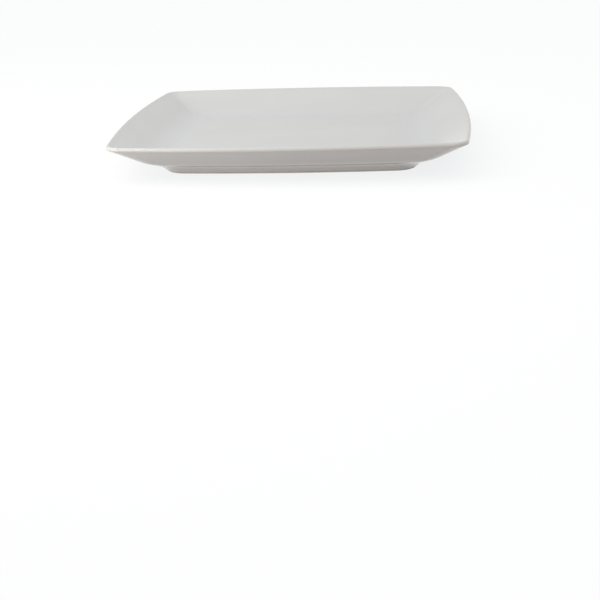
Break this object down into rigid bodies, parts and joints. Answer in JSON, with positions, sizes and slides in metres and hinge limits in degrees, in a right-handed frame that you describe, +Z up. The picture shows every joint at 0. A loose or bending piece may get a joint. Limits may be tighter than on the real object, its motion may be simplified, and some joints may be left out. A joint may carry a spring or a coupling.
{
  "type": "square plate",
  "caption": "Square dinner plate of white glazed porcelain with a flat well, a coved sloping rim, mitred corners, a rounded lip and a bare foot ring.",
  "frame": {"origin": "on the table, under the middle of the plate", "axes": "+Z up out of the well, X and Y square to the plate's sides"},
  "size_m": [0.26, 0.26, 0.026],
  "materials": {
    "bare_porcelain": "matte, unglazed",
    "white_glaze": "gloss"
  },
  "bodies": {
    "root": {"porcelain_body": "bare_porcelain", "main_glaze": "white_glaze", "recess_glaze": "white_glaze"}
  },
  "joints": []
}
